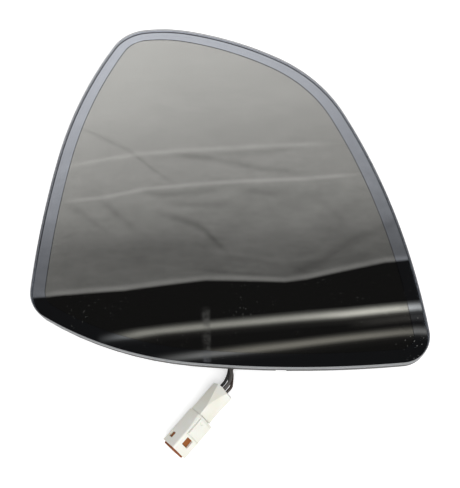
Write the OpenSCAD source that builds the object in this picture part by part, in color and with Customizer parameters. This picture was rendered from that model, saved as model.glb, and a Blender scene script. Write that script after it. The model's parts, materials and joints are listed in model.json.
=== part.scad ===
// Heated, self-dimming door mirror glass on its moulded back plate, with leads and plug.
// It lies face up. +Z is the glass normal, +Y points to the upper edge, and z = 0 is the table.

/* [Glass outline] */
// Overall width of the glass
glass_w = 156; // [150:0.5:162]
// Overall height of the glass
glass_h = 166.5; // [160:0.5:173]
// Radius of the right shoulder
shoulder_r = 74; // [66:1:82]
// Radius of the crown beside the peak
crown_r = 65; // [58:1:72]
// Radius of the peak corner
peak_r = 17; // [14:0.5:22]
// Radius of the lower half of the left side
left_low_r = 505; // [400:5:700]
// Radius of the lower left corner
left_corner_r = 14; // [12:0.5:18]
// Radius of the slanted lower left edge
slant_r = 145; // [125:1:170]
// Radius of the lower right corner
right_corner_r = 11.5; // [10:0.5:16]

/* [Glass cell] */
// Radius of the convex mirror face
curve_r = 1400; // [1000:50:2000]
// Thickness of the front pane
front_t = 2.2; // [1.8:0.1:2.4]
// Thickness of the rear pane
rear_t = 2; // [1.6:0.1:2.4]
// How far the rear pane stands in from the front pane's edge
rear_inset = 0.4; // [0.3:0.05:0.6]
// Gap between the panes that holds the dimming gel
cell_gap = 0.2; // [0.15:0.05:0.4]
// Thickness of the coatings
coat_t = 0.05; // [0.03:0.01:0.08]
// Width of the bright border band
border_w = 5.7; // [5.2:0.1:7]
// Distance of the edge seal from the front pane's edge
seal_inset = 0.8; // [0.6:0.1:1]
// Width of the edge seal
seal_w = 3; // [2:0.1:3.4]
// Width of the fill port in the seal
port_w = 3; // [2:0.5:6]

/* [Contact clips] */
// Thickness of the contact foil
foil_t = 0.15; // [0.1:0.01:0.18]
// Width of the clips' leg on the back of the rear pane
clip_leg = 4; // [2.5:0.1:4.6]
// Height up to which the clips run on both sides of the glass
clip_top_y = 30; // [-20:1:50]
// Width of each contact tail
tail_w = 4; // [3:0.1:5]
// Distance between the middles of the two tails
tail_pitch = 8; // [7.5:0.1:8.8]

/* [Heater and adhesive] */
// Thickness of the heater film
heater_t = 0.25; // [0.2:0.01:0.4]
// Thickness of the foam adhesive pad
pad_t = 0.8; // [0.6:0.05:1.2]
// Distance of the film and pad from the front pane's edge
pad_inset = 6; // [5.8:0.1:8]

/* [Back plate] */
// Height of the mirror face above the table
face_z = 20.2; // [19:0.1:22]
// Distance of the plate from the front pane's edge
plate_inset = 3.2; // [2.6:0.1:4.5]
// Thickness of the plate's skin
skin_t = 2; // [1.6:0.1:2.4]
// Thickness of the plate's skirt
skirt_t = 1.8; // [1.4:0.1:2.4]
// Depth of the skirt below the skin
skirt_h = 2; // [1:0.1:2.6]
// Thickness of the ribs
rib_t = 1.4; // [1:0.1:2]
// Depth of the ribs below the skin
rib_h = 3; // [2:0.1:3.6]
// Number of radial ribs
rib_count = 20; // [12:1:24]
// Radius of the ring rib around the collar
ring_rib_r = 46; // [44:0.5:50]
// Radius of the outer ring rib
outer_rib_r = 63; // [58:0.5:66]

/* [Actuator collar] */
// Bore of the collar that snaps over the actuator
collar_bore = 52; // [48:0.5:54]
// Wall of the collar
collar_wall = 2.6; // [2:0.1:3]
// Number of slots that free the snap fingers
slot_count = 8; // [6:2:10]
// Width of each slot
slot_w = 1.8; // [1.2:0.1:2.4]
// Length of each slot, from the collar's lower rim
slot_h = 9; // [7:0.1:10]
// Height of the snap groove above the lower rim
groove_z = 6; // [5:0.1:6.4]
// Depth of the snap groove
groove_depth = 0.8; // [0.5:0.1:1]
// Chamfer at the collar's mouth and lower rim
lead_in = 0.6; // [0.4:0.05:0.9]
// Diameter of the centre pivot boss
pivot_d = 16; // [14:0.5:20]
// Height of the centre pivot boss
pivot_h = 6; // [4:0.1:8]
// Diameter of the ball socket in the pivot boss
socket_d = 10; // [8:0.5:11]

/* [Terminal window] */
// Left side of the window for the terminals
window_x = -4; // [-6:0.5:-2]
// Width of the window
window_w = 36; // [34:0.5:38]
// Upper side of the window
window_y = -33; // [-34:0.5:-32.5]
// Height of the window
window_h = 17; // [16.5:0.1:18]
// Thickness of the heater terminals
lug_t = 0.8; // [0.6:0.05:1]
// Width of the heater terminals
lug_w = 5; // [4:0.1:5.5]
// Length of the heater terminals' flat lug, from the rivet to the crimp barrel
lug_l = 5; // [4.5:0.1:5.4]
// Diameter of the rivets
rivet_d = 2.4; // [2:0.1:3]
// Height of the solder joints
solder_h = 0.7; // [0.5:0.05:0.9]

/* [Leads] */
// Diameter of each lead
lead_d = 1.2; // [1:0.05:1.25]
// Width of the channel kept free of ribs for the leads
channel_w = 14; // [12:0.5:18]
// Wall of the lead clip
clip_wall = 1.3; // [1:0.1:1.6]

/* [Plug] */
// Overall length of the plug housing
plug_l = 28.7; // [28:0.1:30]
// Length of the wide front hood
hood_l = 15.1; // [14:0.1:16]
// Side of the square front hood
hood_s = 8.1; // [7.9:0.1:8.4]
// Thickness of the hood's wall
hood_wall = 0.9; // [0.7:0.05:1]
// Side of the rear body
body_s = 6.5; // [6.3:0.05:6.8]
// Distance between neighbouring lead cavities
cavity_pitch = 2.2; // [2.1:0.05:2.3]
// Diameter of each lead cavity
cavity_d = 1.7; // [1.6:0.05:1.75]
// Side of the large window in the hood
plug_window = 3.3; // [2.8:0.1:3.6]
// Length of the terminal retainer
retainer_l = 8; // [7:0.1:9]
// How far the retainer stands out of the hood's mouth
retainer_out = 0.7; // [0.3:0.1:0.9]
// Length of the latch arm on the hood
latch_l = 6.9; // [6.2:0.1:7.2]
// Width of the latch arm
latch_w = 6.4; // [5.6:0.1:6.6]
// How far the latch arm stands proud of the hood
latch_rise = 0.5; // [0.3:0.05:0.6]

/* [Hidden] */

// Running clearance between pieces that meet sideways
fit_gap = 0.05;
// Room round things that pass through a hole
pass_gap = 0.5;

// Directions, in degrees, at which the arcs of the outline begin and end
turns = [6, 25, 58, 75, 94, 154, 173, 180, 240, 265, 276, 366];
// Radii of those arcs, where 0 is one of the four long sides, which close the outline
given_r = [0, shoulder_r, 0, crown_r, peak_r, 0, left_low_r, left_corner_r, slant_r, 0, right_corner_r];
long_sides = [0, 2, 5, 9];
// The arcs that hold the outline's right, upper, left and lower extremes
right_arc = 10;
upper_arc = 3;
left_arc = 6;
lower_arc = 9;
// Longest step and widest angle between two points on the outline
outline_step = 9;
outline_turn = 7.5;

function dir(a) = [cos(a), sin(a)];
function total(v) = [for (item = v) 1] * v;
function minor(m, skip) = [for (r = [1:len(m) - 1]) [for (c = [0:len(m) - 1]) if (c != skip) m[r][c]]];
function det(m) = len(m) == 1
    ? m[0][0]
    : total([for (c = [0:len(m) - 1]) (c % 2 == 0 ? 1 : -1) * m[0][c] * det(minor(m, c))]);
function with_row(m, row, v) = [for (r = [0:len(m) - 1]) r == row ? v : m[r]];

// How far a point moves, per unit of radius, along the share of an arc that lies between two directions
function clipped(a, b, low, high) =
    let (from = max(a, low), to = min(b, high)) to > from ? dir(to) - dir(from) : [0, 0];
function reach(i, low, high) =
    clipped(turns[i], turns[i + 1], low, high) + clipped(turns[i] + 360, turns[i + 1] + 360, low, high);

// What each arc adds, per unit of radius, to the closing error and to the overall width and height
arc_rows = [
    for (i = [0:len(given_r) - 1])
        let (whole = reach(i, turns[0], turns[0] + 360))
        [whole.x, whole.y, reach(i, 180, 360).x, reach(i, 270, 450).y]
];
side_rows = [for (i = long_sides) arc_rows[i]];
side_needs = [0, 0, glass_w, glass_h] - given_r * arc_rows;
side_r = [for (j = [0:3]) det(with_row(side_rows, j, side_needs)) / det(side_rows)];
arc_r = [
    for (i = [0:len(given_r) - 1])
        let (side = search(i, long_sides))
        len(side) > 0 ? side_r[side[0]] : given_r[i]
];

// Centres of the arcs, and the middle of the outline's box
function centre(i) = i == 0 ? [0, 0] : centre(i - 1) + (arc_r[i - 1] - arc_r[i]) * dir(turns[i]);
centres = [for (i = [0:len(arc_r) - 1]) centre(i)];
middle = [
    (centres[right_arc].x + arc_r[right_arc] + centres[left_arc].x - arc_r[left_arc]) / 2,
    (centres[upper_arc].y + arc_r[upper_arc] + centres[lower_arc].y - arc_r[lower_arc]) / 2
];

// The glass outline, moved inwards all round
function outline(inset) = [
    for (i = [0:len(arc_r) - 1])
        let (
            turn = turns[i + 1] - turns[i],
            by_length = ceil(arc_r[i] * turn * PI / 180 / outline_step),
            steps = max(by_length, ceil(turn / outline_turn))
        )
        for (k = [0:steps - 1])
            centres[i] - middle + (arc_r[i] - inset) * dir(turns[i] + turn * k / steps)
];

// Depth of each layer below the mirror face
seal_depth = front_t + coat_t;
reflector_depth = seal_depth + cell_gap;
rear_depth = reflector_depth + coat_t;
back_depth = rear_depth + rear_t;
pad_depth = back_depth + heater_t;
skin_depth = pad_depth + pad_t;
under_depth = skin_depth + skin_t;

// Height of a point at a depth below the convex mirror face
function dome_z(x, y, depth) = face_z - curve_r + sqrt(pow(curve_r - depth, 2) - x * x - y * y);

// Contact clips
clip_inset = rear_inset - foil_t - fit_gap;
tail_drop = 3;
tail_y = window_y - tail_drop;

// Terminal window, with four stations side by side
station_x = window_x + window_w / 2;
heater_a_x = station_x - 1.5 * tail_pitch;
heater_b_x = station_x - 0.5 * tail_pitch;
tail_a_x = station_x + 0.5 * tail_pitch;
tail_b_x = station_x + 1.5 * tail_pitch;
window_mid_y = window_y - window_h / 2;
rivet_drop = 3.5;
rivet_y = window_y - rivet_drop;
rivet_head_d = rivet_d + 1.4;
rivet_head_h = 0.7;
barrel_l = 3.5;
barrel_wall = 0.4;
barrel_gap = 0.1;
barrel_r = lead_d / 2 + barrel_gap + barrel_wall;
neck_w = 2;
neck_l = lug_l + barrel_l / 2;

// Lead clip under the plate, just below the window
clip_drop = 2;
clip_y = window_y - window_h - clip_drop;
clip_l = 4;
clip_in_w = 7;
clip_in_h = lead_d + 0.6;
clip_slot = 2;

// Collar and pivot
collar_r = collar_bore / 2 + collar_wall;
collar_top = dome_z(collar_r, 0, under_depth) + skin_t / 2;
pivot_bottom = dome_z(0, 0, under_depth) - pivot_h;
socket_rise = 1;
inner_rib_h = 1.6;
inner_rib_count = 8;

// Channel that the ribs leave free, from the window to the lower edge
channel_shift = 3;
channel_lap = 1;

// Plug: its axis starts at the rear end and runs to the mouth
plug_yaw = 230;
plug_roll = 38;
edge_r = 0.8;
table_gap = 0.1;
plug_height = (hood_s / 2 - edge_r) * (cos(plug_roll) + sin(plug_roll)) + edge_r + table_gap;
plug_rear = [0.4, -88.8, plug_height];
hood_x = plug_l - hood_l;
retainer_x = plug_l + retainer_out - retainer_l;
retainer_gap = 0.1;
retainer_s = hood_s - 2 * hood_wall - 2 * retainer_gap;
body_step = 0.2;
body_y = body_step - hood_s / 2;
body_top = hood_s / 2 - body_step;
rear_r = 8;
flare = 0.9;
waist_r = 46;
waist_from_hood = 4.5;
neck_groove = 0.4;
neck_groove_depth = 0.3;
body_shoulder = [hood_x - 4, body_y + body_s, body_top];
body_shoulder_tilt = [-34, -14.5, 0];
hood_shoulder = [plug_l - 5.7, hood_s / 2, hood_s / 2];
hood_shoulder_tilt = [-34, -7, 0];
latch_x = hood_x + 0.8;
latch_root = 0.3;
latch_groove = 0.4;
latch_groove_depth = 0.5;
hook_r = 0.9;
hook_at = [0.9, 1.6];
window_from_mouth = 4.7;
window_z = 0.4;
side_window = [2.2, 2.6];
side_window_from_mouth = 3.5;
side_window_y = -1.7;
crimp_x = 6.1;
crimp_l = 4;
crimp_d = 1.45;
contact_d = 1.2;
socket_hole_d = 1.4;
cavity_shift = [-0.5, 0.4];
plug_corners = [for (y = [-1, 1], z = [-1, 1]) cavity_shift + [y, z] * cavity_pitch / 2];

// Routes of the four leads, from their terminals through the lead clip to the plug
route_heater_a = [
    [2, -41.7, 13.65], [2, -45, 13.6], [2.6, -46.6, 13.1], [5.4, -48.5, 11.7], [8.2, -50, 10.8],
    [10.9, -51.2, 10.6], [11.4, -53, 10.6], [11.4, -57, 10.4], [11.2, -60, 9.9], [10.4, -64, 9],
    [7.6, -70, 7.7], [4.4, -76, 6.6], [2.2, -79.9, 6.1], [1.6, -82.7, 5.9], [0.33, -85.48, 5.66],
    [-1.47, -87.63, 5.66], [-5.07, -91.92, 5.66]
];
route_heater_b = [
    [10, -41.7, 13.6], [10, -45, 13.55], [10.2, -46.6, 13], [11.3, -48.8, 11.5], [12.7, -50.8, 10.6],
    [13.1, -53, 10.6], [13.2, -57, 10.6], [12.6, -60, 9.1], [11.4, -64, 7.4], [8.2, -70, 5.7],
    [4.8, -76, 4.3], [2.3, -79.9, 3.6], [1.9, -82.7, 3.6], [1.9, -85, 3.8], [1.37, -86.35, 3.93],
    [-0.43, -88.5, 3.93], [-4.03, -92.79, 3.93]
];
route_dimming_a = [
    [18, -39.6, 14], [18, -42.5, 13.9], [17.8, -45.5, 13.2], [16.8, -48.3, 11.8], [15.3, -50.8, 10.7],
    [14.9, -53, 10.6], [14.9, -57, 10.4], [14.4, -60, 10], [13.2, -64, 9.4], [9.9, -70, 8.3],
    [5.6, -76, 7.5], [2.9, -79.9, 7.25], [2.9, -82.7, 7.1], [2.4, -85.2, 7.05], [1.66, -86.6, 7.01],
    [-0.14, -88.74, 7.01], [-3.74, -93.03, 7.01]
];
route_dimming_b = [
    [26, -39.6, 13.9], [26, -42.5, 13.8], [25.4, -45, 13.2], [22.6, -47.8, 11.8], [19.4, -49.9, 10.7],
    [17.1, -51.2, 10.6], [16.5, -53, 10.6], [16.5, -57, 10.4], [15.9, -60, 9], [13.9, -64, 7.9],
    [10.2, -70, 6.6], [6, -76, 5.4], [3, -79.9, 4.95], [3.1, -82.7, 4.95], [3, -85.2, 5.1],
    [2.7, -87.47, 5.28], [0.9, -89.61, 5.28], [-2.7, -93.9, 5.28]
];
lead_sides = 8;
ring_step = 3.6;

// A point on the smooth curve through four route points, t = 0 at the second and 1 at the third
function smooth(a, b, c, d, t) =
    0.5 * (2 * b + (c - a) * t + (2 * a - 5 * b + 4 * c - d) * t * t + (3 * b - a - 3 * c + d) * t * t * t);
function span_steps(route, i) = max(1, round(norm(route[i + 1] - route[i]) / ring_step));
function rounded(route) = [
    for (i = [0:len(route) - 2], k = [0:span_steps(route, i) - 1])
        let (before = route[max(i - 1, 0)], after = route[min(i + 2, len(route) - 1)])
        smooth(before, route[i], route[i + 1], after, k / span_steps(route, i)),
    route[len(route) - 1]
];
function unit(v) = v / norm(v);
function ring(path, i, r) =
    let (
        along = unit(path[min(i + 1, len(path) - 1)] - path[max(i - 1, 0)]),
        side = unit(cross(along, [0, 0, 1])),
        up = cross(side, along)
    )
    [for (k = [0:lead_sides - 1]) path[i] + r * (cos(360 * k / lead_sides) * side + sin(360 * k / lead_sides) * up)];

// A lead swept along its route
module lead(route) {
    path = rounded(route);
    last = len(path) - 1;
    points = [for (i = [0:last]) each ring(path, i, lead_d / 2)];
    start_cap = [for (k = [0:lead_sides - 1]) k];
    end_cap = [for (k = [lead_sides - 1:-1:0]) last * lead_sides + k];
    walls = [
        for (i = [0:last - 1], k = [0:lead_sides - 1])
            let (next = (k + 1) % lead_sides)
            [i * lead_sides + k, (i + 1) * lead_sides + k, (i + 1) * lead_sides + next, i * lead_sides + next]
    ];
    polyhedron(points, [start_cap, each walls, end_cap]);
}

// Ball whose surface lies at a depth below the mirror face
module ball(depth) translate([0, 0, face_z - curve_r]) sphere(curve_r - depth, $fn = 200);

// A flat shape given the curve of the glass: from one depth down to another
module curved(depth, thickness) {
    difference() {
        intersection() {
            linear_extrude(face_z + 1) children();
            ball(depth);
        }
        ball(depth + thickness);
    }
}

// Flat shapes
module face(inset) polygon(outline(inset));
module band(inset, width) {
    difference() {
        face(inset);
        face(inset + width);
    }
}
module box_2d(x, y, w, h) translate([x - w / 2, y - h / 2]) square([w, h]);
module rounded_box(w, h, r) {
    square([w, h - 2 * r], center = true);
    square([w - 2 * r, h], center = true);
    for (x = [-1, 1], y = [-1, 1])
        translate([x * (w / 2 - r), y * (h / 2 - r)]) circle(r, $fn = 24);
}

// Glass cell
module front_glass() color([0.62, 0.66, 0.67, 0.5]) curved(0, front_t) face(0);
module border_coating() color([0.55, 0.57, 0.62]) curved(front_t, coat_t) band(fit_gap, border_w);
module fill_port(gap) box_2d(glass_w / 2, 0, glass_w / 2, port_w - 2 * gap);
module edge_seal() {
    color([0.2, 0.2, 0.2]) curved(seal_depth, cell_gap) difference() {
        band(seal_inset, seal_w);
        fill_port(0);
    }
}
module fill_plug() {
    color([0.75, 0.65, 0.4]) curved(seal_depth, cell_gap) intersection() {
        band(seal_inset, seal_w);
        fill_port(fit_gap);
    }
}
module dimming_gel() color([0.5, 0.6, 0.5]) curved(seal_depth, cell_gap) face(seal_inset + seal_w + fit_gap);
module reflector_coating() color([0.8, 0.8, 0.78]) curved(reflector_depth, coat_t) face(rear_inset + fit_gap);
module rear_glass() color([0.3, 0.33, 0.33]) curved(rear_depth, rear_t) face(rear_inset);

// Contact clips: a side leg on the rear pane's edge, a back leg behind it and a tail to the window
module clip_side(side) {
    edge_x = side < 0 ? tail_a_x + tail_w / 2 : tail_b_x - tail_w / 2;
    span = glass_w;
    intersection() {
        children();
        box_2d(edge_x + side * span / 2, clip_top_y - glass_h, span, 2 * glass_h);
    }
}
module bus_clip(side, tail_x) {
    color([0.8, 0.55, 0.35]) {
        curved(rear_depth, rear_t + foil_t) clip_side(side) band(clip_inset, foil_t);
        curved(back_depth, foil_t) {
            clip_side(side) band(clip_inset, clip_leg);
            intersection() {
                face(clip_inset);
                box_2d(tail_x, tail_y - glass_h / 2, tail_w, glass_h);
            }
        }
    }
}
module bus_clip_left() bus_clip(-1, tail_a_x);
module bus_clip_right() bus_clip(1, tail_b_x);

// Heater film, slotted where the tails run below it, and the foam pad with its window
module heater_pad() {
    slot_span = tail_pitch + tail_w + 2 * pass_gap;
    color([0.55, 0.5, 0.42]) curved(back_depth, heater_t) difference() {
        face(pad_inset);
        box_2d((tail_a_x + tail_b_x) / 2, tail_y + pass_gap - glass_h / 2, slot_span, glass_h);
    }
}
module window_2d() box_2d(station_x, window_mid_y, window_w, window_h);
module adhesive_pad() {
    color([0.12, 0.12, 0.12]) curved(pad_depth, pad_t) difference() {
        face(pad_inset);
        window_2d();
    }
}

// Moulded back plate: skin, skirt, ribs, actuator collar with snap fingers, pivot and lead clip
module channel_2d() {
    reach_y = -glass_h / 2;
    start = window_y - window_h + channel_lap;
    half = channel_w / 2;
    polygon([
        [station_x - half, start], [station_x + half, start],
        [channel_shift + half, reach_y], [channel_shift - half, reach_y]
    ]);
}
module radial_ribs_2d() {
    intersection() {
        face(plate_inset + skirt_t / 2);
        for (i = [0:rib_count - 1])
            rotate(360 * (i + 0.5) / rib_count)
                translate([collar_r - collar_wall / 2, -rib_t / 2]) square([glass_h, rib_t]);
    }
}
module ring_rib_2d(r) {
    intersection() {
        face(plate_inset + skirt_t / 2);
        difference() {
            circle(r + rib_t / 2, $fn = 120);
            circle(r - rib_t / 2, $fn = 120);
        }
    }
}
module rib_layer() {
    curved(under_depth - skin_t / 2, rib_h + skin_t / 2) difference() {
        children();
        channel_2d();
        box_2d(station_x, window_mid_y, window_w + rib_t, window_h + rib_t);
    }
}
module window_frame_2d() {
    difference() {
        box_2d(station_x, window_mid_y, window_w + 2 * rib_t, window_h + 2 * rib_t);
        circle(collar_r - collar_wall / 2, $fn = 120);
        channel_2d();
    }
}
module inner_ribs_2d() {
    difference() {
        for (i = [0:inner_rib_count - 1])
            rotate(360 * (i + 0.5) / inner_rib_count) translate([0, -rib_t / 2])
                square([collar_bore / 2 + collar_wall / 2, rib_t]);
        circle(pivot_d / 4, $fn = 60);
    }
}
module collar() {
    bore_r = collar_bore / 2;
    groove_h = 2 * groove_depth;
    difference() {
        rotate_extrude($fn = 120) polygon([
            [bore_r + lead_in, 0], [collar_r - lead_in, 0], [collar_r, lead_in], [collar_r, collar_top],
            [bore_r, collar_top], [bore_r, groove_z + groove_h], [bore_r + groove_depth, groove_z + groove_depth],
            [bore_r + groove_depth, groove_z], [bore_r, groove_z], [bore_r, lead_in]
        ]);
        for (i = [0:slot_count - 1])
            rotate(360 * (i + 0.5) / slot_count)
                translate([bore_r - 1, -slot_w / 2, -1]) cube([collar_wall + 2, slot_w, slot_h + 1]);
    }
}
module pivot() {
    difference() {
        translate([0, 0, pivot_bottom]) cylinder(d = pivot_d, h = pivot_h + skin_t / 2, $fn = 60);
        translate([0, 0, pivot_bottom + socket_rise]) sphere(d = socket_d, $fn = 60);
    }
}
module lead_clip() {
    top = dome_z(station_x, clip_y, under_depth);
    low = top - clip_in_h - clip_wall;
    half = clip_in_w / 2;
    for (side = [-1, 1]) {
        post_x = side < 0 ? station_x - half - clip_wall : station_x + half;
        arm_x = side < 0 ? station_x - half - clip_wall : station_x + clip_slot / 2;
        translate([post_x, clip_y - clip_l, low]) cube([clip_wall, clip_l, top - low + skin_t / 2]);
        translate([arm_x, clip_y - clip_l, low]) cube([half + clip_wall - clip_slot / 2, clip_l, clip_wall]);
    }
}
module back_plate() {
    color([0.09, 0.09, 0.1]) {
        curved(skin_depth, skin_t) difference() {
            face(plate_inset);
            window_2d();
        }
        curved(under_depth - skin_t / 2, skirt_h + skin_t / 2) band(plate_inset, skirt_t);
        rib_layer() radial_ribs_2d();
        for (r = [ring_rib_r, outer_rib_r])
            rib_layer() ring_rib_2d(r);
        curved(under_depth - skin_t / 2, rib_h + skin_t / 2) difference() {
            window_frame_2d();
            window_2d();
        }
        curved(under_depth - skin_t / 2, inner_rib_h + skin_t / 2) inner_ribs_2d();
        collar();
        pivot();
        lead_clip();
    }
}

// A place under the heater film, level with the film there
module under_film(x, y) {
    translate([x, y, dome_z(x, y, pad_depth) - fit_gap])
        rotate([-asin(y / curve_r), asin(x / curve_r), 0]) children();
}

// Heater terminals: lugs riveted to the film, each with a crimp barrel for its lead
module heater_terminal() {
    difference() {
        union() {
            translate([0, 0, -lug_t]) cylinder(d = lug_w, h = lug_t, $fn = 48);
            translate([-neck_w / 2, -neck_l, -lug_t]) cube([neck_w, neck_l, lug_t]);
            translate([0, -lug_l, -barrel_r]) rotate([90, 0, 0]) cylinder(r = barrel_r, h = barrel_l, $fn = 32);
        }
        translate([0, -lug_l + 1, -barrel_r]) rotate([90, 0, 0])
            cylinder(r = barrel_r - barrel_wall, h = barrel_l + 2, $fn = 32);
        translate([0, 0, -2 * lug_t]) cylinder(d = rivet_d + 2 * fit_gap, h = 3 * lug_t, $fn = 32);
    }
}
module heater_terminals() {
    color([0.8, 0.7, 0.45]) for (x = [heater_a_x, heater_b_x]) under_film(x, rivet_y) heater_terminal();
}
module terminal_rivets() {
    head_z = -lug_t - fit_gap - rivet_head_h;
    color([0.75, 0.75, 0.72]) for (x = [heater_a_x, heater_b_x]) under_film(x, rivet_y) {
        translate([0, 0, head_z]) cylinder(d = rivet_d, h = -head_z, $fn = 32);
        translate([0, 0, head_z]) cylinder(d = rivet_head_d, h = rivet_head_h, $fn = 32);
    }
}
module solder_joints() {
    color([0.7, 0.7, 0.72]) for (x = [tail_a_x, tail_b_x]) curved(back_depth + foil_t, solder_h)
        translate([x, tail_y - tail_w / 2 - fit_gap]) circle(d = tail_w - 1, $fn = 32);
}

module lead_heater_a() color([0.08, 0.08, 0.08]) lead(route_heater_a);
module lead_heater_b() color([0.08, 0.08, 0.08]) lead(route_heater_b);
module lead_dimming_a() color([0.5, 0.48, 0.46]) lead(route_dimming_a);
module lead_dimming_b() color([0.3, 0.18, 0.1]) lead(route_dimming_b);

// Plug, drawn along +X from its rear end and then laid on the table
module on_plug() translate(plug_rear) rotate([0, 0, plug_yaw]) rotate([plug_roll, 0, 0]) children();
module along_plug(from, length) translate([from, 0, 0]) rotate([90, 0, 90]) linear_extrude(length) children();
module above_plane(at, tilt) {
    translate(at) rotate(tilt) translate([-2 * plug_l, -plug_l / 2, 0]) cube([2 * plug_l, plug_l, hood_s]);
}
module body_plan() {
    flared = body_s + flare;
    difference() {
        intersection() {
            translate([0, body_y]) square([hood_x + 1, flared]);
            translate([rear_r, body_y + flared / 2]) {
                circle(rear_r, $fn = 96);
                translate([0, -rear_r]) square([plug_l, 2 * rear_r]);
            }
        }
        translate([hood_x - waist_from_hood, body_y + body_s + waist_r]) circle(waist_r, $fn = 240);
    }
}
module plug_body() {
    flared = body_s + flare;
    difference() {
        intersection() {
            translate([0, 0, body_top - body_s]) linear_extrude(body_s) body_plan();
            along_plug(0, hood_x + 1) translate([body_y + flared / 2, body_top - body_s / 2])
                rounded_box(flared, body_s, edge_r);
        }
        above_plane(body_shoulder, body_shoulder_tilt);
        along_plug(hood_x - neck_groove, neck_groove) difference() {
            square(2 * hood_s, center = true);
            translate([body_y + body_s / 2, body_top - body_s / 2])
                square(body_s - 2 * neck_groove_depth, center = true);
        }
    }
}
module plug_hood() {
    difference() {
        along_plug(hood_x, hood_l) rounded_box(hood_s, hood_s, edge_r);
        above_plane(hood_shoulder, hood_shoulder_tilt);
    }
}
module latch_arm() {
    translate([latch_x, hood_s / 2 - latch_root, -latch_w / 2]) cube([latch_l, latch_rise + latch_root, latch_w]);
}
module latch_grooves() {
    groove_y = hood_s / 2 - latch_groove_depth;
    full_w = latch_w + 2 * latch_groove;
    for (z = [-full_w / 2, latch_w / 2])
        translate([latch_x, groove_y, z]) cube([latch_l + latch_groove, hood_s, latch_groove]);
    translate([latch_x + latch_l, groove_y, -full_w / 2]) cube([latch_groove, hood_s, full_w]);
}
module latch_hook() {
    arm_y = hood_s / 2 + latch_rise - latch_groove_depth;
    translate([latch_x + hook_at.x, arm_y, hook_at.y]) rotate([-90, 0, 0]) linear_extrude(hood_s) difference() {
        circle(hook_r, $fn = 24);
        translate([-hook_r / 2, 0]) circle(hook_r, $fn = 24);
    }
}
module hood_windows() {
    translate([plug_l - window_from_mouth, hood_s / 2, window_z])
        cube([plug_window, hood_s, plug_window], center = true);
    translate([plug_l - side_window_from_mouth, side_window_y, hood_s / 2])
        cube([side_window.x, side_window.y, hood_s], center = true);
}
module plug_housing() {
    color([0.92, 0.91, 0.86]) on_plug() difference() {
        union() {
            plug_body();
            plug_hood();
            latch_arm();
        }
        latch_grooves();
        latch_hook();
        hood_windows();
        for (corner = plug_corners)
            translate([-1, corner.x, corner.y]) rotate([0, 90, 0]) cylinder(d = cavity_d, h = plug_l, $fn = 32);
        along_plug(retainer_x - retainer_gap, plug_l) square(retainer_s + 2 * retainer_gap, center = true);
    }
}
module plug_retainer() {
    color([0.62, 0.3, 0.12]) on_plug() difference() {
        along_plug(retainer_x, retainer_l) square(retainer_s, center = true);
        for (corner = plug_corners)
            translate([0, corner.x, corner.y]) rotate([0, 90, 0])
                cylinder(d = socket_hole_d, h = plug_l + 2, $fn = 32);
    }
}
module plug_terminals() {
    color([0.8, 0.78, 0.7]) on_plug() for (corner = plug_corners) translate([0, corner.x, corner.y]) {
        translate([crimp_x, 0, 0]) rotate([0, 90, 0]) cylinder(d = crimp_d, h = crimp_l, $fn = 24);
        translate([crimp_x, 0, 0]) rotate([0, 90, 0])
            cylinder(d = contact_d, h = plug_l - crimp_x - 0.5, $fn = 24);
    }
}

front_glass();
border_coating();
edge_seal();
fill_plug();
dimming_gel();
reflector_coating();
rear_glass();
bus_clip_left();
bus_clip_right();
heater_pad();
adhesive_pad();
back_plate();
heater_terminals();
terminal_rivets();
solder_joints();
lead_heater_a();
lead_heater_b();
lead_dimming_a();
lead_dimming_b();
plug_housing();
plug_retainer();
plug_terminals();
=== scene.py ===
"""Looks of the door mirror glass: smooth panes and coatings, cords, materials, light and camera."""
import json
import math

import bpy
import numpy as np
from mathutils import Euler, Matrix, Vector


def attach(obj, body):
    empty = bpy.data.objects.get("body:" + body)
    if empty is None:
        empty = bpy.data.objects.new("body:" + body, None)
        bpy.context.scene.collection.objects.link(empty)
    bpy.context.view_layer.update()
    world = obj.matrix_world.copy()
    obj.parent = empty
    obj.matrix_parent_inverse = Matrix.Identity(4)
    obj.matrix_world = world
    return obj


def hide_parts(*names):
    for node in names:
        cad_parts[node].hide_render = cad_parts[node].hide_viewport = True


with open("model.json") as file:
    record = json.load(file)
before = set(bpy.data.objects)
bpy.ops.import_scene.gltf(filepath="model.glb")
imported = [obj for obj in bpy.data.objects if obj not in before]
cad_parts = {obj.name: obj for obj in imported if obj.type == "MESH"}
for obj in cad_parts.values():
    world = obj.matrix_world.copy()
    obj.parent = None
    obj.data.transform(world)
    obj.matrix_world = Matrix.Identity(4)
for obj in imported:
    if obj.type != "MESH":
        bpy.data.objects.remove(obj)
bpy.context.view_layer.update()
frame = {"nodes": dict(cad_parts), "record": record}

MM = 0.001
ROOT = "root"

# Camera: its place in millimetres, its turn in degrees and its focal length in photo pixels
CAMERA_AT = (20.75, -155.7, 271.4)
CAMERA_TURN = (26.0, 3.64, 1.22)
FOCAL_PX = 700.0
PHOTO_SIZE = (460, 488)
SENSOR = 36.0
CLIP_START = 0.01

# Outline of the glass, in millimetres: the arcs' first and last directions and their radii,
# where 0 marks one of the four long sides, which close the outline
GLASS_W = 156.0
GLASS_H = 166.5
TURNS = (6, 25, 58, 75, 94, 154, 173, 180, 240, 265, 276, 366)
GIVEN_R = (0, 74, 0, 65, 17, 0, 505, 14, 145, 0, 11.5)
RIGHT_ARC, UPPER_ARC, LEFT_ARC, LOWER_ARC = 10, 3, 6, 9
OUTLINE_STEP = 2.0
OUTLINE_TURN = 3.0

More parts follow.
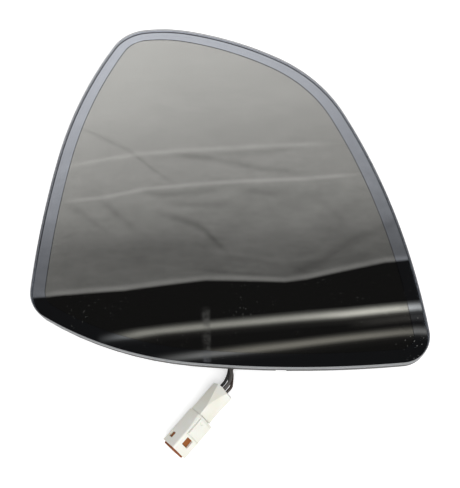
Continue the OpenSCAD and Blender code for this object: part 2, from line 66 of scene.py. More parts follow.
# Glass cell, in millimetres. The wall below the bevel is as dark as the bevel over DARK_RIM, and the dark
# line around the mirror reaches LINE_W out from under the border and LINE_TUCK in under it.
CURVE_R = 1400.0
FACE_Z = 20.2
FRONT_T = 2.2
BEVEL_W = 0.25
BEVEL_H = 0.2
DARK_RIM = 0.75
LOW_BEVEL = 0.12
BORDER_W = 5.7
LINE_W = 0.3
LINE_TUCK = 0.6
COAT_INSET = 0.1
COAT_DEPTH = 2.215
COAT_T = 0.03
REFLECTOR_DEPTH = 2.46
REFLECTOR_T = 0.03
REFLECTOR_INSET = 0.6
FLAT_INSET = 8.0
EDGE_SLACK = 0.06
SHARP_DEGREES = 6

# Ground edge of the front pane: its colour and the light that comes through it, for its upper and lower
# parts, and the places along y, in metres, between which they change. Both are painted light and shade: the
# lower part is made lighter and the upper part darker, and more light comes through at the top.
PAINTED_LIGHT_SPAN = (-0.030, -0.050)
PAINTED_SHADE_EDGE = (0.02, 0.021, 0.022)
PAINTED_LIT_EDGE = (0.28, 0.285, 0.29)
PAINTED_GLOW_SPAN = (-0.045, 0.075)
PAINTED_GLOW_LOW = (0.26, 0.265, 0.28)
PAINTED_GLOW_TOP = (0.90, 0.91, 0.95)

# Dust: how close its specks and its patches lie, how a speck's size follows the patches (noise from, noise
# to, size from, size to), and how much of the glass a speck covers
DUST_CELLS = 620.0
DUST_PATCHES = 60.0
DUST_SIZE = (0.38, 0.75, 0.0, 0.14)
DUST_COVER = 0.16

# The part of a noise's range over which a colour drifts
DRIFT = (0.3, 0.7)

# Softened edges of the plug: welded below this gap, in metres, and bevelled above this angle, in degrees
WELD_GAP = 0.000002
SOFTEN_DEGREES = 35

# Leads: diameter and routes in millimetres, the same points as in the part's source
LEAD_D = 1.2
SPAN_STEPS = 8
ROUTES = {
    "lead_heater_a": [
        (2, -41.7, 13.65), (2, -45, 13.6), (2.6, -46.6, 13.1), (5.4, -48.5, 11.7), (8.2, -50, 10.8),
        (10.9, -51.2, 10.6), (11.4, -53, 10.6), (11.4, -57, 10.4), (11.2, -60, 9.9), (10.4, -64, 9),
        (7.6, -70, 7.7), (4.4, -76, 6.6), (2.2, -79.9, 6.1), (1.6, -82.7, 5.9), (0.33, -85.48, 5.66),
        (-1.47, -87.63, 5.66), (-5.07, -91.92, 5.66),
    ],
    "lead_heater_b": [
        (10, -41.7, 13.6), (10, -45, 13.55), (10.2, -46.6, 13), (11.3, -48.8, 11.5), (12.7, -50.8, 10.6),
        (13.1, -53, 10.6), (13.2, -57, 10.6), (12.6, -60, 9.1), (11.4, -64, 7.4), (8.2, -70, 5.7),
        (4.8, -76, 4.3), (2.3, -79.9, 3.6), (1.9, -82.7, 3.6), (1.9, -85, 3.8), (1.37, -86.35, 3.93),
        (-0.43, -88.5, 3.93), (-4.03, -92.79, 3.93),
    ],
    "lead_dimming_a": [
        (18, -39.6, 14), (18, -42.5, 13.9), (17.8, -45.5, 13.2), (16.8, -48.3, 11.8), (15.3, -50.8, 10.7),
        (14.9, -53, 10.6), (14.9, -57, 10.4), (14.4, -60, 10), (13.2, -64, 9.4), (9.9, -70, 8.3),
        (5.6, -76, 7.5), (2.9, -79.9, 7.25), (2.9, -82.7, 7.1), (2.4, -85.2, 7.05), (1.66, -86.6, 7.01),
        (-0.14, -88.74, 7.01), (-3.74, -93.03, 7.01),
    ],
    "lead_dimming_b": [
        (26, -39.6, 13.9), (26, -42.5, 13.8), (25.4, -45, 13.2), (22.6, -47.8, 11.8), (19.4, -49.9, 10.7),
        (17.1, -51.2, 10.6), (16.5, -53, 10.6), (16.5, -57, 10.4), (15.9, -60, 9), (13.9, -64, 7.9),
        (10.2, -70, 6.6), (6, -76, 5.4), (3, -79.9, 4.95), (3.1, -82.7, 4.95), (3, -85.2, 5.1),
        (2.7, -87.47, 5.28), (0.9, -89.61, 5.28), (-2.7, -93.9, 5.28),
    ],
}


# Camera
def make_camera():
    data = bpy.data.cameras.new("view")
    data.sensor_width = SENSOR
    data.lens = FOCAL_PX / max(PHOTO_SIZE) * SENSOR
    camera = bpy.data.objects.new("view", data)
    turn = Euler([math.radians(a) for a in CAMERA_TURN])
    camera.matrix_world = Matrix.LocRotScale(Vector(CAMERA_AT) * MM, turn, None)
    data.clip_start = CLIP_START
    bpy.context.scene.collection.objects.link(camera)
    bpy.context.scene.camera = camera


make_camera()


# Materials
def new_material(name):
    material = bpy.data.materials.new(name)
    material.use_nodes = True
    tree = material.node_tree
    tree.nodes.clear()
    output = tree.nodes.new("ShaderNodeOutputMaterial")
    return material, tree, output


def node(tree, kind, **values):
    """A shader node with its inputs set by name and its options set as attributes."""
    made = tree.nodes.new(kind)
    for key, value in values.items():
        if key in made.inputs:
            made.inputs[key].default_value = value
        else:
            setattr(made, key, value)
    return made


def principled(tree, output, color, roughness, **inputs):
    shader = tree.nodes.new("ShaderNodeBsdfPrincipled")
    shader.inputs["Base Color"].default_value = (*color, 1)
    shader.inputs["Roughness"].default_value = roughness
    for key, value in inputs.items():
        shader.inputs[key.replace("_", " ")].default_value = value
    tree.links.new(shader.outputs[0], output.inputs["Surface"])
    return shader


def object_point(tree):
    return tree.nodes.new("ShaderNodeTexCoord").outputs["Object"]


def noise(tree, point, scale, detail=3.0, roughness=0.5):
    made = node(tree, "ShaderNodeTexNoise", Scale=scale, Detail=detail, Roughness=roughness)
    tree.links.new(point, made.inputs["Vector"])
    return made.outputs["Fac"]


def ramp(tree, factor, low, high, from_value, to_value):
    """factor, spread from low..high to from_value..to_value."""
    made = node(tree, "ShaderNodeMapRange")
    for index, value in enumerate((low, high, from_value, to_value), start=1):
        made.inputs[index].default_value = value
    tree.links.new(factor, made.inputs[0])
    return made.outputs[0]


def calc(tree, operation, *values):
    """A math node of numbers or sockets."""
    made = node(tree, "ShaderNodeMath", operation=operation)
    for socket, value in zip(made.inputs, values):
        if isinstance(value, (int, float)):
            socket.default_value = value
        else:
            tree.links.new(value, socket)
    return made.outputs[0]


def mix_colors(tree, factor, first, second):
    """A mix of two colours, each given as red, green and blue or as a socket."""
    made = tree.nodes.new("ShaderNodeMix")
    made.data_type = "RGBA"
    tree.links.new(factor, made.inputs[0])
    for socket, color in zip((made.inputs[6], made.inputs[7]), (first, second)):
        if isinstance(color, (tuple, list)):
            socket.default_value = (*color, 1)
        else:
            tree.links.new(color, socket)
    return made.outputs[2]


def split_point(tree, point):
    """The x, y and z of a point, as three sockets."""
    split = tree.nodes.new("ShaderNodeSeparateXYZ")
    tree.links.new(point, split.inputs[0])
    return split.outputs


def add_shaders(tree, output, first, second):
    """Makes the sum of two shaders the material's surface."""
    add = tree.nodes.new("ShaderNodeAddShader")
    tree.links.new(first.outputs[0], add.inputs[0])
    tree.links.new(second.outputs[0], add.inputs[1])
    tree.links.new(add.outputs[0], output.inputs["Surface"])


def bump(tree, shader, height, strength, distance):
    made = node(tree, "ShaderNodeBump", Strength=strength, Distance=distance)
    tree.links.new(height, made.inputs["Height"])
    tree.links.new(made.outputs[0], shader.inputs["Normal"])


def varied(name, color, color_2, roughness, roughness_2, scale, grain_scale, grain, **inputs):
    """A surface whose colour and roughness drift slowly, with a fine grain."""
    material, tree, output = new_material(name)
    shader = principled(tree, output, color, roughness, **inputs)
    point = object_point(tree)
    drift = ramp(tree, noise(tree, point, scale), *DRIFT, 0, 1)
    tree.links.new(mix_colors(tree, drift, color, color_2), shader.inputs["Base Color"])
    tree.links.new(ramp(tree, drift, 0, 1, roughness, roughness_2), shader.inputs["Roughness"])
    bump(tree, shader, noise(tree, point, grain_scale, 2.0), grain, 0.0001)
    return material


def clear_glass():
    """Clear glass with a little dust on it."""
    material, tree, output = new_material("clear_glass")
    glass = principled(tree, output, (0.985, 0.985, 0.985), 0.0, Transmission_Weight=1.0, IOR=1.52)
    dust = node(tree, "ShaderNodeBsdfDiffuse", Color=(0.75, 0.75, 0.72, 1))
    point = object_point(tree)
    specks = node(tree, "ShaderNodeTexVoronoi", Scale=DUST_CELLS)
    tree.links.new(point, specks.inputs["Vector"])
    size = ramp(tree, noise(tree, point, DUST_PATCHES), *DUST_SIZE)
    near = calc(tree, "LESS_THAN", specks.outputs["Distance"], size)
    mix = tree.nodes.new("ShaderNodeMixShader")
    tree.links.new(calc(tree, "MULTIPLY", near, DUST_COVER), mix.inputs[0])
    tree.links.new(glass.outputs[0], mix.inputs[1])
    tree.links.new(dust.outputs[0], mix.inputs[2])
    tree.links.new(mix.outputs[0], output.inputs["Surface"])
    return material


def ground_glass(name, glow):
    """Ground glass of the front pane: grey from outside, painted lighter on its lower side and darker on its
    upper side as painted light and shade, and soft light comes through it to the inside, painted stronger
    towards the top.
    """
    material, tree, output = new_material(name)
    shader = principled(tree, output, PAINTED_SHADE_EDGE, 0.4, Specular_IOR_Level=0.08)
    point = object_point(tree)
    place = split_point(tree, point)[1]
    # Painted light: the lower side of the ground edge is made lighter along y, the upper side darker as
    # painted shade.
    lower = ramp(tree, place, *PAINTED_LIGHT_SPAN, 0, 1)
    tree.links.new(mix_colors(tree, lower, PAINTED_SHADE_EDGE, PAINTED_LIT_EDGE), shader.inputs["Base Color"])
    bump(tree, shader, noise(tree, point, 2500.0, 2.0), 0.3, 0.0001)
    inner = tree.nodes.new("ShaderNodeBsdfTranslucent")
    # Painted light: the light that comes through the edge is made stronger towards the top along y.
    through = ramp(tree, place, *PAINTED_GLOW_SPAN, 0, 1)
    low = [part * glow for part in PAINTED_GLOW_LOW]
    top = [part * glow for part in PAINTED_GLOW_TOP]
    tree.links.new(mix_colors(tree, through, low, top), inner.inputs["Color"])
    add_shaders(tree, output, shader, inner)
    return material


def coating(name, color, color_2):
    """A mirror coating, smooth, with a very slight drift in its tint."""
    material, tree, output = new_material(name)
    shader = principled(tree, output, color, 0.0, Metallic=1.0)
    drift = ramp(tree, noise(tree, object_point(tree), 9.0, 2.0), *DRIFT, 0, 1)
    tree.links.new(mix_colors(tree, drift, color, color_2), shader.inputs["Base Color"])
    return material


MATERIALS = {
    "clear_glass": clear_glass(),
    "border_chrome": coating("border_chrome", (0.66, 0.69, 0.76), (0.68, 0.71, 0.77)),
    "mirror_silver": coating("mirror_silver", (0.66, 0.655, 0.62), (0.68, 0.675, 0.64)),
    "line": coating("line", (0.48, 0.48, 0.48), (0.51, 0.51, 0.51)),
    "pane_bevel": ground_glass("pane_bevel", 0.12),
    "pane_wall": ground_glass("pane_wall", 1.0),
    # The rear pane's dark grey is partly its grey paint and partly painted shade on its edge, under the
    # front pane.
    "rear_glass": varied("rear_glass", (0.03, 0.033, 0.033), (0.045, 0.05, 0.05), 0.4, 0.5, 90, 2500, 0.3,
                         Specular_IOR_Level=0.2),
    "seal": varied("seal", (0.02, 0.02, 0.02), (0.03, 0.03, 0.03), 0.5, 0.6, 60, 900, 0.2),
    "fill_resin": varied("fill_resin", (0.35, 0.28, 0.12), (0.4, 0.33, 0.16), 0.3, 0.4, 200, 900, 0.2),
    "gel": varied("gel", (0.3, 0.34, 0.3), (0.34, 0.38, 0.34), 0.2, 0.3, 30, 900, 0.1),
    "contact_foil": varied("contact_foil", (0.10, 0.10, 0.10), (0.15, 0.15, 0.145), 0.4, 0.55, 120, 1500,
                           0.3, Metallic=0.6),
    "heater_film": varied("heater_film", (0.20, 0.17, 0.12), (0.26, 0.22, 0.16), 0.4, 0.55, 40, 800, 0.2),
    "foam": varied("foam", (0.012, 0.012, 0.012), (0.022, 0.022, 0.022), 0.85, 0.95, 200, 1800, 0.8),
    "black_plastic": varied("black_plastic", (0.012, 0.012, 0.013), (0.018, 0.018, 0.020), 0.38, 0.52, 25,
                            1600, 0.5),
    "tinned_brass": varied("tinned_brass", (0.62, 0.57, 0.42), (0.70, 0.66, 0.52), 0.25, 0.4, 300, 2500, 0.2,
                           Metallic=1.0),
    "rivet_steel": varied("rivet_steel", (0.55, 0.55, 0.54), (0.63, 0.63, 0.62), 0.25, 0.35, 300, 2500, 0.2,
                          Metallic=1.0),
    "solder": varied("solder", (0.55, 0.56, 0.58), (0.66, 0.67, 0.69), 0.18, 0.3, 500, 2500, 0.4,
                     Metallic=1.0),
    "black_lead": varied("black_lead", (0.008, 0.008, 0.008), (0.014, 0.013, 0.012), 0.3, 0.42, 150, 1500,
                         0.2),
    "grey_lead": varied("grey_lead", (0.055, 0.05, 0.046), (0.085, 0.075, 0.07), 0.3, 0.4, 150, 1500, 0.2),
    "brown_lead": varied("brown_lead", (0.035, 0.024, 0.02), (0.055, 0.038, 0.03), 0.3, 0.4, 150, 1500, 0.2),
    "white_plastic": varied("white_plastic", (0.80, 0.79, 0.69), (0.85, 0.845, 0.80), 0.33, 0.45, 120, 1500,
                            0.25, Subsurface_Weight=0.1, Subsurface_Scale=0.001),
    "rust_plastic": varied("rust_plastic", (0.21, 0.045, 0.005), (0.31, 0.095, 0.012), 0.35, 0.5, 200, 1500,
                           0.25),
}

NODE_MATERIALS = {s["node"]: s["material_slot"] for s in frame["record"]["subparts"]}


def dress_cad_nodes():
    for name, obj in frame["nodes"].items():
        obj.data.materials.clear()
        obj.data.materials.append(MATERIALS[NODE_MATERIALS[name]])


dress_cad_nodes()


# Outline of the glass: arcs that join smoothly, solved for the overall width and height
def direction(degrees):
    return np.array([math.cos(math.radians(degrees)), math.sin(math.radians(degrees))])


def reach(index, low, high):
    """How far an arc moves a point, per unit of radius, between two directions."""
    moved = np.zeros(2)
    for lap in (0, 360):
        start = max(TURNS[index] + lap, low)
        end = min(TURNS[index + 1] + lap, high)
        if end > start:
            moved += direction(end) - direction(start)
    return moved


def solve_radii():
    rows = np.array([
        (*reach(i, TURNS[0], TURNS[0] + 360), reach(i, 180, 360)[0], reach(i, 270, 450)[1])
        for i in range(len(GIVEN_R))
    ])
    given = np.array(GIVEN_R, float)
    sides = [i for i, r in enumerate(GIVEN_R) if r == 0]
    needs = np.array([0, 0, GLASS_W, GLASS_H]) - given @ rows
    given[sides] = np.linalg.solve(rows[sides].T, needs)
    return given


def arc_centres(radii):
    centres = [np.zeros(2)]
    for i in range(1, len(radii)):
        centres.append(centres[-1] + (radii[i - 1] - radii[i]) * direction(TURNS[i]))
    middle = np.array([
        centres[RIGHT_ARC][0] + radii[RIGHT_ARC] + centres[LEFT_ARC][0] - radii[LEFT_ARC],
        centres[UPPER_ARC][1] + radii[UPPER_ARC] + centres[LOWER_ARC][1] - radii[LOWER_ARC],
    ]) / 2
    return [c - middle for c in centres]


RADII = solve_radii()
CENTRES = arc_centres(RADII)


def outline(inset):
    """Points of the outline, moved inwards all round, in millimetres."""
    points = []
    for i, (radius, centre) in enumerate(zip(RADII, CENTRES)):
        turn = TURNS[i + 1] - TURNS[i]
        count = max(math.ceil(radius * math.radians(turn) / OUTLINE_STEP), math.ceil(turn / OUTLINE_TURN))
        for k in range(count):
            points.append(centre + (radius - inset - EDGE_SLACK) * direction(TURNS[i] + turn * k / count))
    return np.array(points)


def on_dome(points, depth):
    """Points of the plan, lifted to a depth below the convex mirror face."""
    height = FACE_Z - CURVE_R + np.sqrt((CURVE_R - depth) ** 2 - (points ** 2).sum(axis=1))
    return np.column_stack([points, height])


def loops_to_mesh(name, loops, materials, close_ends=True):
    """A closed skin through loops, each given as its points and the material index of the band before it."""
    count = len(loops[0][0])
    verts = np.concatenate([points for points, _ in loops]) * MM
    faces = []
    indices = []
    for row in range(1, len(loops)):
        for k in range(count):
            after = (k + 1) % count
            low = (row - 1) * count
            high = row * count
            faces.append((low + k, high + k, high + after, low + after))
            indices.append(loops[row][1])
    last = (len(loops) - 1) * count
    if close_ends:
        faces.append(tuple(range(count)))
        faces.append(tuple(range(last + count - 1, last - 1, -1)))
        indices += [loops[1][1], loops[-1][1]]
    else:
        for k in range(count):
            after = (k + 1) % count
            faces.append((last + k, k, after, last + after))
            indices.append(loops[0][1])
    mesh = bpy.data.meshes.new(name)
    mesh.from_pydata([tuple(v) for v in verts], [], faces)
    for material in materials:
        mesh.materials.append(MATERIALS[material])
    mesh.polygons.foreach_set("material_index", indices)
    mesh.polygons.foreach_set("use_smooth", [True] * len(faces))
    mesh.set_sharp_from_angle(angle=math.radians(SHARP_DEGREES))
    mesh.update()
    obj = bpy.data.objects.new(name, mesh)
    bpy.context.scene.collection.objects.link(obj)
    return obj


def dome_loops(depth, material, insets, count=36, first=0.25):
    """Loops at one depth, from near the middle, where the first lies at this share of a step, outwards."""
    core = outline(FLAT_INSET)
    loops = [(on_dome(core * (k + first) / (count + first), depth), material) for k in range(count)]
    return loops + [(on_dome(outline(inset), depth), material) for inset in insets]


def steps(first, last, count):
    return [first + (last - first) * k / count for k in range(count + 1)]


# Front pane: clear faces, a ground bevel and wall, and the coated border behind
def make_front_glass():
    clear, bevel, wall, coated = 0, 1, 2, 3
    inward = steps(FLAT_INSET, BEVEL_W, 6)
    top = dome_loops(0, clear, inward)
    rounding = []
    for degrees in (30, 60, 90):
        sine = math.sin(math.radians(degrees))
        cosine = math.cos(math.radians(degrees))
        rounding.append((on_dome(outline(BEVEL_W * (1 - sine)), BEVEL_H * (1 - cosine)), bevel))
    dark_end = BEVEL_H + DARK_RIM
    side = [(on_dome(outline(0), dark_end), bevel)]
    side += [(on_dome(outline(0), depth), wall) for depth in steps(dark_end, FRONT_T - LOW_BEVEL, 2)[1:]]
    under = [(on_dome(outline(LOW_BEVEL), FRONT_T), coated)]
    border = [(on_dome(outline(inset), FRONT_T), coated) for inset in steps(LOW_BEVEL, BORDER_W, 4)[1:]]
    bottom = [(points, clear) for points, _ in reversed(dome_loops(FRONT_T, clear, [FLAT_INSET]))]
    loops = top + rounding + side + under + border + bottom
    obj = loops_to_mesh("front_pane", loops, ["clear_glass", "pane_bevel", "pane_wall", "border_chrome"])
    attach(obj, ROOT)
    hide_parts("front_glass")
    return obj


def make_border():
    upper = [(on_dome(outline(i), COAT_DEPTH), 0) for i in steps(COAT_INSET, BORDER_W, 4)]
    lower = [(on_dome(outline(i), COAT_DEPTH + COAT_T), 0) for i in steps(BORDER_W, COAT_INSET, 4)]
    obj = loops_to_mesh("border_ring", upper + lower, ["border_chrome"], close_ends=False)
    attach(obj, ROOT)
    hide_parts("border_coating")
    return obj


def make_reflector():
    silver, line = 0, 1
    line_start = BORDER_W - LINE_TUCK
    line_end = BORDER_W + LINE_W
    top = dome_loops(REFLECTOR_DEPTH, silver, [line_end])
    rim = [(on_dome(outline(line_start), REFLECTOR_DEPTH), line)]
    for inset in steps(line_start, REFLECTOR_INSET, 3)[1:]:
        rim.append((on_dome(outline(inset), REFLECTOR_DEPTH), silver))
    below = REFLECTOR_DEPTH + REFLECTOR_T
    bottom = [(p, silver) for p, _ in reversed(dome_loops(below, silver, [REFLECTOR_INSET]))]
    obj = loops_to_mesh("reflector", top + rim + bottom, ["mirror_silver", "line"])
    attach(obj, ROOT)
    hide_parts("reflector_coating", "dimming_gel")
    return obj


# Cords
def smooth_route(route):
    """A smooth curve through the route's points, in millimetres."""
    points = np.array(route, float)
    path = []
    for i in range(len(points) - 1):
        a, b = points[max(i - 1, 0)], points[i]
        c, d = points[i + 1], points[min(i + 2, len(points) - 1)]
        for k in range(SPAN_STEPS):
            t = k / SPAN_STEPS
            path.append(0.5 * (2 * b + (c - a) * t + (2 * a - 5 * b + 4 * c - d) * t ** 2
                               + (3 * b - a - 3 * c + d) * t ** 3))
    path.append(points[-1])
    return np.array(path)


def make_lead(name, route):
    path = smooth_route(route) * MM
    data = bpy.data.curves.new(name + "_cord", "CURVE")
    data.dimensions = "3D"
    spline = data.splines.new("POLY")
    spline.points.add(len(path) - 1)
    for point, place in zip(spline.points, path):
        point.co = (*place, 1)
    data.bevel_depth = LEAD_D / 2 * MM
    data.bevel_resolution = 4
    data.use_fill_caps = True
    data.materials.append(MATERIALS[NODE_MATERIALS[name]])
    cord = bpy.data.objects.new(name + "_cord", data)
    bpy.context.scene.collection.objects.link(cord)
    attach(cord, ROOT)
    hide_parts(name)


for lead_name, lead_route in ROUTES.items():
    make_lead(lead_name, lead_route)

make_front_glass()
make_border()
make_reflector()


# Plug: softened edges on the CAD pieces
def soften(name, width):
    obj = frame["nodes"][name]
    weld = obj.modifiers.new("weld", "WELD")
    weld.merge_threshold = WELD_GAP
    bevel = obj.modifiers.new("bevel", "BEVEL")
    bevel.width = width * MM
    bevel.segments = 3
    bevel.limit_method = "ANGLE"
    bevel.angle_limit = math.radians(SOFTEN_DEGREES)
    bevel.harden_normals = True


soften("plug_housing", 0.22)
soften("plug_retainer", 0.15)


# Stage: the room's light, the floor's size in metres and its glow as the camera sees it, and the key
# light's direction, spread in degrees and strength
ROOM_LIGHT = 0.47
FLOOR_SIZE = 8
FLOOR_GLOW = 0.43
KEY_TOWARD = (0.24, -0.6, 1.0)
KEY_SPREAD = 45.0
KEY_STRENGTH = 2.15


def ray_switch(tree):
    """1 for the rays that come straight from the camera."""
    return tree.nodes.new("ShaderNodeLightPath").outputs["Is Camera Ray"]


def make_world(strength):
    world = bpy.data.worlds.new("room")
    bpy.context.scene.world = world
    world.use_nodes = True
    tree = world.node_tree
    background = tree.nodes["Background"]
    background.inputs["Color"].default_value = (1, 1, 1, 1)
    tree.links.new(ramp(tree, ray_switch(tree), 0, 1, strength, 1.0), background.inputs["Strength"])


def plane(name, width, depth, matrix):
    half_w, half_d = width / 2, depth / 2
    mesh = bpy.data.meshes.new(name)
    corners = [(-half_w, -half_d, 0), (half_w, -half_d, 0), (half_w, half_d, 0), (-half_w, half_d, 0)]
    mesh.from_pydata(corners, [], [(0, 1, 2, 3)])
    obj = bpy.data.objects.new(name, mesh)
    obj.matrix_world = matrix
    bpy.context.scene.collection.objects.link(obj)
    return obj


def make_floor(glow):
    floor = plane("floor", FLOOR_SIZE, FLOOR_SIZE, Matrix.Identity(4))
    material, tree, output = new_material("floor")
    diffuse = node(tree, "ShaderNodeBsdfDiffuse", Color=(0.82, 0.82, 0.82, 1))
    light = node(tree, "ShaderNodeEmission", Color=(1, 1, 1, 1))
    tree.links.new(ramp(tree, ray_switch(tree), 0, 1, 0.0, glow), light.inputs["Strength"])
    add_shaders(tree, output, diffuse, light)
    floor.data.materials.append(material)


# What the mirror shows: a pale folded sheet that ends at a dark gap with light bars, on a plane that
# faces the mirror. u runs to the right and v runs up on it, in metres.
CARD_DISTANCE = 1.0
CARD_ELEVATION = 60.0
CARD_SIZE = 2.4
CARD_SPAN = (-0.6, 0.6)
SHEET_FADE = ((-0.44, 0.67), (-0.34, 0.63), (-0.22, 0.55), (-0.12, 0.445), (-0.03, 0.38), (0.06, 0.28),
              (0.13, 0.19), (0.19, 0.145))
SHEET_SLOPE = -0.35
SHEET_EDGE = ((-0.55, 0.263), (-0.33, 0.258), (-0.125, 0.238), (0.07, 0.243), (0.12, 0.236), (0.31, 0.187),
              (0.37, 0.177))
GAP_LIGHT = 0.0092
GAP_END = (0.50, 0.58)
BEYOND_LIGHT = 0.35

# Folds in the sheet: strength, half width and points along each
FOLD_DEPTH = 1.35
FOLDS = (
    (0.15, 0.006, ((-0.46, -0.080), (-0.29, -0.094), (-0.06, -0.097), (0.17, -0.109))),
    (-0.08, 0.010, ((-0.29, -0.080), (-0.06, -0.082), (0.10, -0.094))),
    (0.22, 0.005, ((-0.47, 0.012), (-0.38, 0.013), (-0.27, -0.002), (-0.06, -0.011), (0.11, -0.018),
                   (0.24, -0.034))),
    (-0.16, 0.009, ((-0.27, 0.006), (-0.22, 0.014), (-0.12, 0.011), (-0.07, 0.002))),
    (-0.14, 0.008, ((-0.21, 0.040), (-0.15, 0.045), (-0.07, 0.045))),
    (-0.20, 0.010, ((-0.24, 0.062), (-0.19, 0.076), (-0.13, 0.104), (-0.06, 0.179))),
    (-0.16, 0.014, ((-0.39, 0.012), (-0.344, 0.055), (-0.29, 0.105))),
    (-0.13, 0.012, ((-0.49, 0.010), (-0.434, 0.047), (-0.37, 0.098))),
    (-0.11, 0.006, ((-0.43, -0.180), (-0.35, -0.132), (-0.31, -0.108), (-0.235, -0.041), (-0.20, -0.015))),
    (-0.12, 0.008, ((-0.20, -0.088), (-0.10, -0.070), (0.02, -0.042), (0.12, -0.033))),
    (-0.12, 0.009, ((-0.05, 0.005), (0.01, 0.016), (0.08, 0.023))),
    (-0.08, 0.014, ((0.13, 0.020), (0.19, 0.065), (0.23, 0.120))),
    (-0.09, 0.018, ((-0.53, 0.135), (-0.425, 0.150), (-0.335, 0.156), (-0.222, 0.152), (-0.08, 0.140))),
    (-0.14, 0.014, ((0.07, 0.230), (0.153, 0.193), (0.20, 0.154), (0.271, 0.113), (0.37, 0.070))),
    (0.06, 0.030, ((-0.08, 0.150), (0.104, 0.088), (0.24, 0.0))),
    (-0.14, 0.005, ((-0.15, 0.209), (-0.064, 0.220), (0.009, 0.225), (0.12, 0.236))),
    (0.45, 0.007, ((-0.55, 0.256), (-0.33, 0.251), (-0.125, 0.231), (0.07, 0.236), (0.12, 0.229),
                   (0.31, 0.180), (0.42, 0.166))),
    (0.10, 0.006, ((-0.12, 0.160), (0.06, 0.190), (0.16, 0.180))),
)

# Fine wrinkles: how their noise is stretched, its scale and its strength, and the heights between which
# they grow from the first share of that strength to the second
WRINKLES = (((1, 2.2, 1), 4.0, 0.2), ((1, 2.4, 1), 13.0, 0.24), ((1, 2, 1), 40.0, 0.1))
CREASED_FROM = (-0.16, 0.10)
CREASED_BY = (0.35, 1.25)

# Light bars in the gap: tint, points along each and brightness along each
BARS = (
    ((1.0, 1.0, 0.94), ((-0.40, 0.386), (-0.229, 0.367), (0.009, 0.345), (0.217, 0.323), (0.40, 0.297)),
     ((-0.41, 0.0), (-0.37, 0.10), (-0.30, 0.31), (-0.065, 0.34), (0.08, 0.40), (0.156, 0.50), (0.217, 0.67),
      (0.28, 0.76), (0.352, 0.69), (0.40, 0.50))),
    ((1.0, 0.97, 0.88), ((-0.30, 0.452), (-0.066, 0.426), (0.083, 0.408), (0.40, 0.360)),
     ((-0.29, 0.0), (-0.14, 0.19), (0.08, 0.225), (0.28, 0.225), (0.40, 0.18))),
    ((1.0, 0.97, 0.92), ((0.23, 0.350), (0.28, 0.343), (0.40, 0.324)),
     ((0.22, 0.0), (0.29, 0.025), (0.40, 0.035))),
)

# How bright a bar is across it: distance above its line, share of its brightness
BAR_PROFILE = ((-0.020, 0.0), (-0.014, 0.12), (-0.009, 0.42), (-0.004, 0.85), (0.0, 1.0), (0.003, 0.92),
               (0.007, 0.5), (0.012, 0.1), (0.018, 0.02), (0.03, 0.0))

# Post in front of the bars: place and half width along u, lower and upper end along v, the soft length at
# its ends, its own light and the share of the bars' light that it takes away
POST = (-0.125, 0.012, 0.31, 0.45)
POST_FADE = 0.004
POST_LIGHT = 0.07
POST_SHADE = 0.6


def along(tree, place, points, low, high):
    """A value that runs straight between the points, each given as (place, value)."""
    lookup = node(tree, "ShaderNodeValToRGB")
    elements = lookup.color_ramp.elements
    while len(elements) < len(points):
        elements.new(0.5)
    for element, (at, value) in zip(elements, points):
        element.position = (at - low) / (high - low)
        element.color = (value, value, value, 1)
    tree.links.new(ramp(tree, place, low, high, 0, 1), lookup.inputs[0])
    return lookup.outputs[0]


def line_offset(tree, u, v, points):
    """How far v lies above the line through the points."""
    lifted = [(at, value + 1) for at, value in points]
    return calc(tree, "SUBTRACT", calc(tree, "ADD", v, 1.0), along(tree, u, lifted, *CARD_SPAN))


def fold_light(tree, u, v, strength, half_width, points):
    """Light that a fold adds or takes: strongest along its line, and fading at both ends."""
    ratio = calc(tree, "DIVIDE", line_offset(tree, u, v, points), half_width)
    bell = calc(tree, "EXPONENT", calc(tree, "MULTIPLY", calc(tree, "MULTIPLY", ratio, ratio), -1.0))
    first, last = points[0][0], points[-1][0]
    ends = ((first - 0.02, 0.0), (first + 0.04, 1.0), (last - 0.05, 1.0), (last + 0.02, 0.0))
    light = calc(tree, "MULTIPLY", bell, strength * FOLD_DEPTH)
    return calc(tree, "MULTIPLY", light, along(tree, u, ends, *CARD_SPAN))


def sheet_light(tree, u, v, point):
    """Brightness of the folded sheet."""
    light = along(tree, v, SHEET_FADE, *CARD_SPAN)
    folds = calc(tree, "MULTIPLY_ADD", u, SHEET_SLOPE, 1.0)
    for strength, half_width, points in FOLDS:
        folds = calc(tree, "ADD", folds, fold_light(tree, u, v, strength, half_width, points))
    rough = ramp(tree, v, *CREASED_FROM, *CREASED_BY)
    for stretch, scale, strength in WRINKLES:
        spread = node(tree, "ShaderNodeMapping", Scale=stretch)
        tree.links.new(point, spread.inputs["Vector"])
        creases = noise(tree, spread.outputs[0], scale, 4.0, 0.6)
        wrinkle = ramp(tree, creases, 0.2, 0.8, -strength / 2, strength / 2)
        folds = calc(tree, "MULTIPLY_ADD", wrinkle, rough, folds)
    return calc(tree, "MULTIPLY", light, folds)


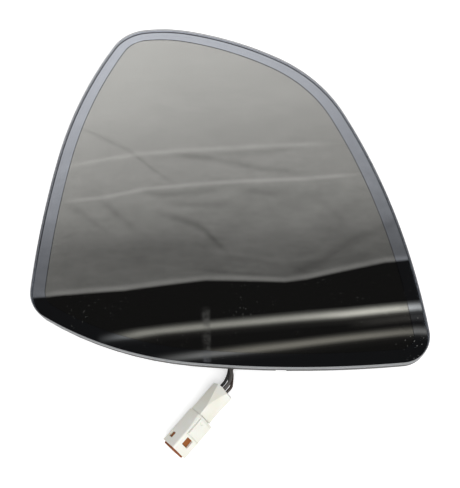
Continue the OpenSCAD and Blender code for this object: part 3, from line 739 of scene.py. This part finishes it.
def gap_light(tree, u, v, point):
    """Colour of the dark gap, with its light bars and the post in front of them."""
    total = node(tree, "ShaderNodeCombineColor")
    post_u, post_w, post_low, post_high = POST
    across = along(tree, u, ((post_u - post_w, 0), (post_u - post_w / 2, 1), (post_u + post_w / 2, 1),
                             (post_u + post_w, 0)), *CARD_SPAN)
    up = along(tree, v, ((post_low - POST_FADE, 0), (post_low, 1), (post_high, 1),
                         (post_high + POST_FADE, 0)), *CARD_SPAN)
    patchy = ramp(tree, noise(tree, point, 35.0), 0.4, 0.6, 0.15, 1)
    post = calc(tree, "MULTIPLY", calc(tree, "MULTIPLY", across, up), patchy)
    dimmed = calc(tree, "MULTIPLY_ADD", post, -POST_SHADE, 1.0)
    bars = []
    for tint, points, brightness in BARS:
        profile = along(tree, line_offset(tree, u, v, points), BAR_PROFILE, -0.06, 0.06)
        light = calc(tree, "MULTIPLY", profile, along(tree, u, brightness, *CARD_SPAN))
        bars.append((tint, calc(tree, "MULTIPLY", light, dimmed)))
    for channel in range(3):
        value = calc(tree, "MULTIPLY_ADD", post, POST_LIGHT, GAP_LIGHT)
        for tint, light in bars:
            value = calc(tree, "MULTIPLY_ADD", light, tint[channel], value)
        tree.links.new(value, total.inputs[channel])
    return total.outputs[0]


def make_card():
    up = math.radians(CARD_ELEVATION)
    toward = Vector((0, math.cos(up), math.sin(up)))
    side = Vector((1, 0, 0))
    rise = Vector((0, -math.sin(up), math.cos(up)))
    matrix = Matrix((side, rise, side.cross(rise))).transposed().to_4x4()
    matrix.translation = Vector((0, 0, FACE_Z * MM)) + toward * CARD_DISTANCE
    card = plane("reflected_sheet", CARD_SIZE, CARD_SIZE, matrix)
    card.visible_camera = False
    card.visible_diffuse = False
    card.visible_shadow = False
    material, tree, output = new_material("reflected_sheet")
    point = object_point(tree)
    u, v, _ = split_point(tree, point)
    sheet = sheet_light(tree, u, v, point)
    past_edge = ramp(tree, line_offset(tree, u, v, SHEET_EDGE), -0.003, 0.003, 0, 1)
    color = mix_colors(tree, past_edge, sheet, gap_light(tree, u, v, point))
    beyond = node(tree, "ShaderNodeCombineColor", Red=BEYOND_LIGHT, Green=BEYOND_LIGHT, Blue=BEYOND_LIGHT)
    color = mix_colors(tree, ramp(tree, v, *GAP_END, 0, 1), color, beyond.outputs[0])
    light = node(tree, "ShaderNodeEmission", Strength=1.0)
    tree.links.new(color, light.inputs["Color"])
    tree.links.new(light.outputs[0], output.inputs["Surface"])
    card.data.materials.append(material)


def soft_sun(name, toward, spread, strength):
    """A wide soft light from one side, given by the direction towards it and its spread in degrees."""
    data = bpy.data.lights.new(name, "SUN")
    data.angle = math.radians(spread)
    data.energy = strength
    lamp = bpy.data.objects.new(name, data)
    lamp.rotation_euler = (-Vector(toward)).to_track_quat("-Z", "Y").to_euler()
    bpy.context.scene.collection.objects.link(lamp)


make_world(ROOM_LIGHT)
make_floor(FLOOR_GLOW)
make_card()
soft_sun("key", KEY_TOWARD, KEY_SPREAD, KEY_STRENGTH)

bpy.context.scene.view_settings.view_transform = "Standard"
